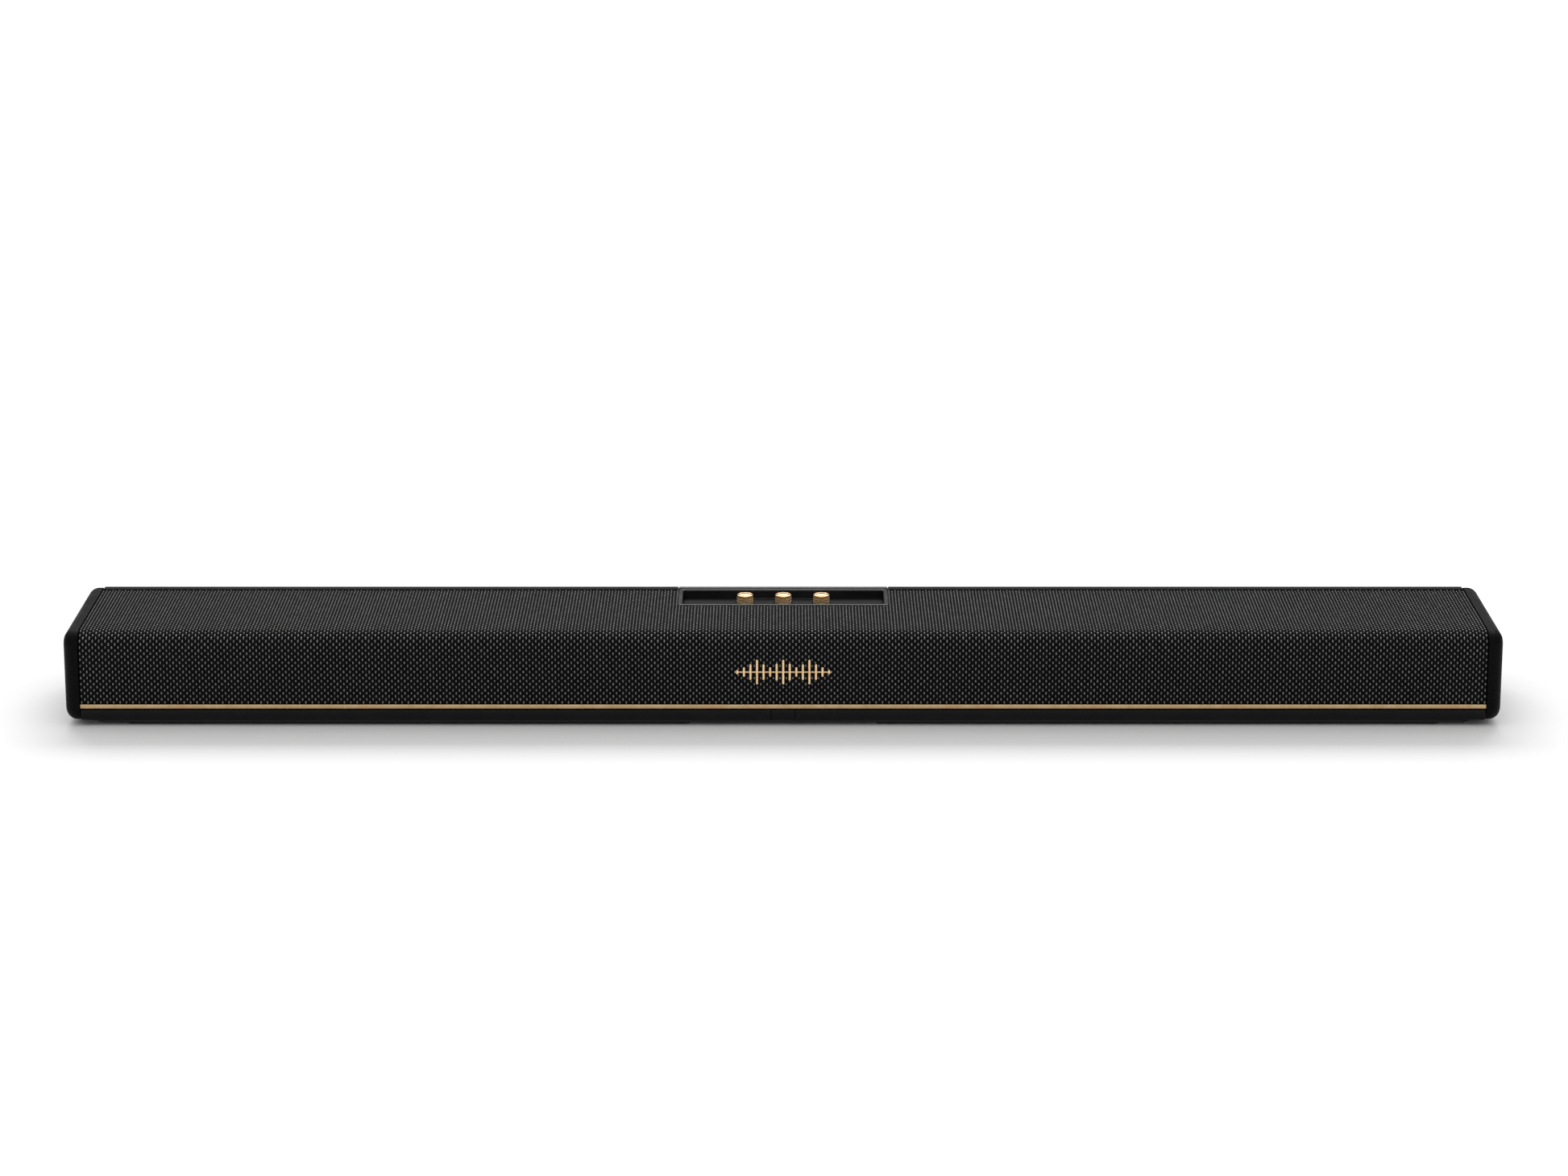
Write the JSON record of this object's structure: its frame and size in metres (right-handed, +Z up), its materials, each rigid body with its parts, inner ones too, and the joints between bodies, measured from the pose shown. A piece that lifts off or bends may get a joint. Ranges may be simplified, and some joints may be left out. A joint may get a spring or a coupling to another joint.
{
  "type": "soundbar",
  "caption": "Long low soundbar with a woven cloth grille over its front and top, leather-grained end caps, a brass trim strip and a recessed panel of push-and-turn knobs.",
  "frame": {"origin": "on the floor, under the middle of the bar", "axes": "+X to the right as seen from the front, front faces -Y, +Z up"},
  "size_m": [1.1, 0.145, 0.076],
  "materials": {
    "leather": "fine pebble grain, satin",
    "moulding": "fine textured",
    "fascia": "smooth satin",
    "window": "polished dark window",
    "cloth": "plain weave, grey warp over black weft",
    "brass": "polished",
    "trim": "fine brushed",
    "plate": "black, brushed along X",
    "foot_rubber": "matt",
    "steel": "plain",
    "magnet_steel": "black passivated",
    "board": "solder mask",
    "cone": "coated paper with a rubber surround"
  },
  "bodies": {
    "root": {"base_plate": "moulding", "bass_port_left": "moulding", "bass_port_right": "moulding", "brass_trim": "trim", "cabinet_tray": "leather", "centre_driver_basket": "magnet_steel", "control_bezel": "moulding", "control_board": "board", "control_plate": "plate", "emblem": "brass", "encoder_body_left": "steel", "encoder_body_middle": "steel", "encoder_body_right": "steel", "end_cap_left": "leather", "end_cap_right": "leather", "fascia_left": "fascia", "fascia_right": "fascia", "foot_front_left": "foot_rubber", "foot_front_right": "foot_rubber", "foot_rear_left": "foot_rubber", "foot_rear_right": "foot_rubber", "front_baffle": "moulding", "grille_cloth": "cloth", "grille_frame": "moulding", "height_driver_left_basket": "magnet_steel", "height_driver_right_basket": "magnet_steel", "line_sockets": "moulding", "main_board": "board", "mains_inlet": "moulding", "mid_left_basket": "magnet_steel", "mid_right_basket": "magnet_steel", "network_socket": "moulding", "power_board": "board", "rear_cabinet": "leather", "receiver_window": "window", "socket_bay": "moulding", "tweeter_left_basket": "magnet_steel", "tweeter_right_basket": "magnet_steel", "video_socket_in": "moulding", "video_socket_out": "moulding", "woofer_left_basket": "magnet_steel", "woofer_right_basket": "magnet_steel"},
    "press_left": {"encoder_plunger_left": "moulding"},
    "knob_left": {"knob_left": "brass", "encoder_shaft_left": "steel"},
    "press_middle": {"encoder_plunger_middle": "moulding"},
    "knob_middle": {"knob_middle": "brass", "encoder_shaft_middle": "steel"},
    "press_right": {"encoder_plunger_right": "moulding"},
    "knob_right": {"knob_right": "brass", "encoder_shaft_right": "steel"},
    "centre_driver_cone": {"centre_driver_cone": "cone"},
    "woofer_left_cone": {"woofer_left_cone": "cone"},
    "woofer_right_cone": {"woofer_right_cone": "cone"},
    "mid_left_cone": {"mid_left_cone": "cone"},
    "mid_right_cone": {"mid_right_cone": "cone"},
    "tweeter_left_cone": {"tweeter_left_cone": "cone"},
    "tweeter_right_cone": {"tweeter_right_cone": "cone"},
    "height_driver_left_cone": {"height_driver_left_cone": "cone"},
    "height_driver_right_cone": {"height_driver_right_cone": "cone"}
  },
  "joints": [
    {"name": "knob_left_press", "type": "slide", "parent": "root", "child": "press_left", "axis": [0, 0, -1], "range_m": [0, 0.0006], "stiffness_N_per_m": 3000},
    {"name": "knob_left_turn", "type": "hinge", "parent": "press_left", "child": "knob_left", "pos_m": [-0.03, 0.041, 0.072], "axis": [0, 0, 1], "continuous": true},
    {"name": "knob_middle_press", "type": "slide", "parent": "root", "child": "press_middle", "axis": [0, 0, -1], "range_m": [0, 0.0006], "stiffness_N_per_m": 3000},
    {"name": "knob_middle_turn", "type": "hinge", "parent": "press_middle", "child": "knob_middle", "pos_m": [0, 0.041, 0.072], "axis": [0, 0, 1], "continuous": true},
    {"name": "knob_right_press", "type": "slide", "parent": "root", "child": "press_right", "axis": [0, 0, -1], "range_m": [0, 0.0006], "stiffness_N_per_m": 3000},
    {"name": "knob_right_turn", "type": "hinge", "parent": "press_right", "child": "knob_right", "pos_m": [0.03, 0.041, 0.072], "axis": [0, 0, 1], "continuous": true},
    {"name": "centre_driver_stroke", "type": "slide", "parent": "root", "child": "centre_driver_cone", "axis": [0, -1, 0], "range_m": [-0.0015, 0.0015], "stiffness_N_per_m": 1500},
    {"name": "woofer_left_stroke", "type": "slide", "parent": "root", "child": "woofer_left_cone", "axis": [0, -1, 0], "range_m": [-0.002, 0.002], "stiffness_N_per_m": 1500},
    {"name": "woofer_right_stroke", "type": "slide", "parent": "root", "child": "woofer_right_cone", "axis": [0, -1, 0], "range_m": [-0.002, 0.002], "stiffness_N_per_m": 1500},
    {"name": "mid_left_stroke", "type": "slide", "parent": "root", "child": "mid_left_cone", "axis": [0, -1, 0], "range_m": [-0.0015, 0.0015], "stiffness_N_per_m": 1500},
    {"name": "mid_right_stroke", "type": "slide", "parent": "root", "child": "mid_right_cone", "axis": [0, -1, 0], "range_m": [-0.0015, 0.0015], "stiffness_N_per_m": 1500},
    {"name": "tweeter_left_stroke", "type": "slide", "parent": "root", "child": "tweeter_left_cone", "axis": [0, -1, 0], "range_m": [-0.0004, 0.0004], "stiffness_N_per_m": 4000},
    {"name": "tweeter_right_stroke", "type": "slide", "parent": "root", "child": "tweeter_right_cone", "axis": [0, -1, 0], "range_m": [-0.0004, 0.0004], "stiffness_N_per_m": 4000},
    {"name": "height_driver_left_stroke", "type": "slide", "parent": "root", "child": "height_driver_left_cone", "axis": [0, 0, 1], "range_m": [-0.0012, 0.0012], "stiffness_N_per_m": 1500},
    {"name": "height_driver_right_stroke", "type": "slide", "parent": "root", "child": "height_driver_right_cone", "axis": [0, 0, 1], "range_m": [-0.0012, 0.0012], "stiffness_N_per_m": 1500}
  ]
}
